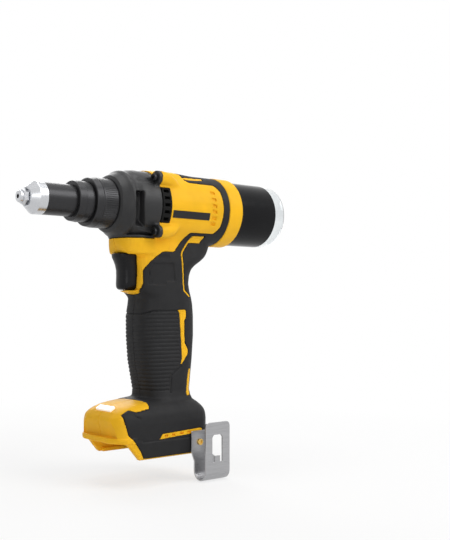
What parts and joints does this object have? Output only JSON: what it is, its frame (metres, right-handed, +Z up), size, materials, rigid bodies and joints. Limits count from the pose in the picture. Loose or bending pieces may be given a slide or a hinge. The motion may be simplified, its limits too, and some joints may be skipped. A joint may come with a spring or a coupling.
{
  "type": "battery rivet tool",
  "caption": "Pistol-shaped battery rivet tool with a stepped nose, gear case, motor barrel, collection bottle, trigger, overmoulded grip and battery foot.",
  "frame": {"origin": "centre of the mouth of the nosepiece, on the pulling axis", "axes": "+X out of the nose along the pulling axis, +Y to the tool's left, +Z up, away from the foot"},
  "size_m": [0.2995, 0.0928, 0.3],
  "materials": {
    "yellow_plastic": "fine moulded grain",
    "black_rubber": "matt overmould",
    "black_plastic": "satin",
    "grey_plastic": "satin",
    "black_metal": "black anodised",
    "bright_steel": "satin turned and blasted steel",
    "plain_steel": "machined",
    "laminated_iron": "varnished",
    "copper_wire": "enamelled",
    "brass": "plain",
    "gloss_black": "gloss",
    "clear_plastic": "clear",
    "white_lens": "frosted",
    "circuit_board": "lacquered",
    "red_lead": "plain",
    "aluminium": "cast"
  },
  "bodies": {
    "tool_body": {"housing_left": "yellow_plastic", "housing_right": "yellow_plastic", "rear_ring": "yellow_plastic", "grip_left": "black_rubber", "grip_right": "black_rubber", "bottle_seal": "black_rubber", "vent_insert_left": "black_plastic", "vent_insert_right": "black_plastic", "trigger_switch": "black_plastic", "terminal_block": "black_plastic", "gear_case": "grey_plastic", "label_left": "grey_plastic", "label_right": "grey_plastic", "control_module": "grey_plastic", "belt_hook": "bright_steel", "gear_case_screws": "plain_steel", "housing_screws": "plain_steel", "trigger_spring": "plain_steel", "thrust_bearing": "plain_steel", "nut_bearing": "plain_steel", "ring_gear": "plain_steel", "motor_bearing_front": "plain_steel", "motor_bearing_rear": "plain_steel", "mandrel_tube": "plain_steel", "stator": "laminated_iron", "stator_coils": "copper_wire", "terminal_blades": "brass", "belt_hook_screw": "brass", "work_light_lens": "white_lens", "work_light_board": "circuit_board", "power_leads": "red_lead", "motor_plate": "aluminium"},
    "nose": {"nosepiece": "bright_steel", "nose_cap": "bright_steel", "nose_sleeve": "black_metal", "sleeve_ring": "black_metal"},
    "collar": {"collar_nut": "black_metal"},
    "pull_head": {"pull_screw": "plain_steel", "anti_turn_key": "plain_steel", "jaw_case": "plain_steel", "jaws": "plain_steel", "jaw_pusher": "plain_steel", "jaw_spring": "plain_steel"},
    "nut_drive": {"ball_nut": "plain_steel", "screw_balls": "plain_steel", "output_carrier": "plain_steel"},
    "middle_stage": {"middle_carrier": "plain_steel"},
    "rotor": {"rotor_shaft": "plain_steel", "rotor_core": "laminated_iron", "fan": "black_plastic"},
    "trigger_group": {"trigger": "black_plastic", "switch_plunger": "grey_plastic"},
    "bottle": {"collection_bottle": "gloss_black", "bottle_end": "clear_plastic"},
    "output_gear_1": {"output_planet_1": "plain_steel"},
    "input_gear_1": {"input_planet_1": "plain_steel"},
    "output_gear_2": {"output_planet_2": "plain_steel"},
    "input_gear_2": {"input_planet_2": "plain_steel"},
    "output_gear_3": {"output_planet_3": "plain_steel"},
    "input_gear_3": {"input_planet_3": "plain_steel"}
  },
  "joints": [
    {"name": "trigger_pull", "type": "slide", "parent": "tool_body", "child": "trigger_group", "axis": [-1, 0, 0], "range_m": [0, 0.0065], "stiffness_N_per_m": 900, "springref_m": -0.004, "deforming": ["trigger_spring"]},
    {"name": "rotor_spin", "type": "hinge", "parent": "tool_body", "child": "rotor", "pos_m": [-0.18, 0, 0], "axis": [1, 0, 0], "range_deg": [0, 16200]},
    {"name": "middle_stage_spin", "type": "hinge", "parent": "tool_body", "child": "middle_stage", "pos_m": [-0.145, 0, 0], "axis": [1, 0, 0], "range_deg": [0, 5400]},
    {"name": "nut_spin", "type": "hinge", "parent": "tool_body", "child": "nut_drive", "pos_m": [-0.12, 0, 0], "axis": [1, 0, 0], "range_deg": [0, 1800]},
    {"name": "jaw_pull", "type": "slide", "parent": "tool_body", "child": "pull_head", "axis": [-1, 0, 0], "range_m": [0, 0.025]},
    {"name": "collar_turn", "type": "hinge", "parent": "nose", "child": "collar", "pos_m": [-0.08, 0, 0], "axis": [1, 0, 0], "range_deg": [0, 2880]},
    {"name": "nose_unscrew", "type": "slide", "parent": "tool_body", "child": "nose", "axis": [1, 0, 0], "range_m": [0, 0.012]},
    {"name": "bottle_twist", "type": "hinge", "parent": "tool_body", "child": "bottle", "pos_m": [-0.2353, 0, 0], "axis": [-1, 0, 0], "range_deg": [0, 40]},
    {"name": "input_gear_1_spin", "type": "hinge", "parent": "middle_stage", "child": "input_gear_1", "pos_m": [-0.151, 0, -0.0156], "axis": [1, 0, 0], "range_deg": [-21600, 0]},
    {"name": "output_gear_1_spin", "type": "hinge", "parent": "nut_drive", "child": "output_gear_1", "pos_m": [-0.139, 0, -0.0156], "axis": [1, 0, 0], "range_deg": [-7200, 0]},
    {"name": "input_gear_2_spin", "type": "hinge", "parent": "middle_stage", "child": "input_gear_2", "pos_m": [-0.151, 0.01351, 0.0078], "axis": [1, 0, 0], "range_deg": [-21600, 0]},
    {"name": "output_gear_2_spin", "type": "hinge", "parent": "nut_drive", "child": "output_gear_2", "pos_m": [-0.139, 0.01351, 0.0078], "axis": [1, 0, 0], "range_deg": [-7200, 0]},
    {"name": "input_gear_3_spin", "type": "hinge", "parent": "middle_stage", "child": "input_gear_3", "pos_m": [-0.151, -0.01351, 0.0078], "axis": [1, 0, 0], "range_deg": [-21600, 0]},
    {"name": "output_gear_3_spin", "type": "hinge", "parent": "nut_drive", "child": "output_gear_3", "pos_m": [-0.139, -0.01351, 0.0078], "axis": [1, 0, 0], "range_deg": [-7200, 0]}
  ],
  "couplings": [
    {"joint": "middle_stage_spin", "follows": "rotor_spin", "ratio": 0.33333},
    {"joint": "nut_spin", "follows": "rotor_spin", "ratio": 0.11111},
    {"joint": "jaw_pull", "follows": "rotor_spin", "m_per_rad": 0.000088419},
    {"joint": "nose_unscrew", "follows": "collar_turn", "m_per_rad": 0.00023873},
    {"joint": "input_gear_1_spin", "follows": "rotor_spin", "ratio": -1.3333},
    {"joint": "output_gear_1_spin", "follows": "rotor_spin", "ratio": -0.44444},
    {"joint": "input_gear_2_spin", "follows": "rotor_spin", "ratio": -1.3333},
    {"joint": "output_gear_2_spin", "follows": "rotor_spin", "ratio": -0.44444},
    {"joint": "input_gear_3_spin", "follows": "rotor_spin", "ratio": -1.3333},
    {"joint": "output_gear_3_spin", "follows": "rotor_spin", "ratio": -0.44444}
  ]
}
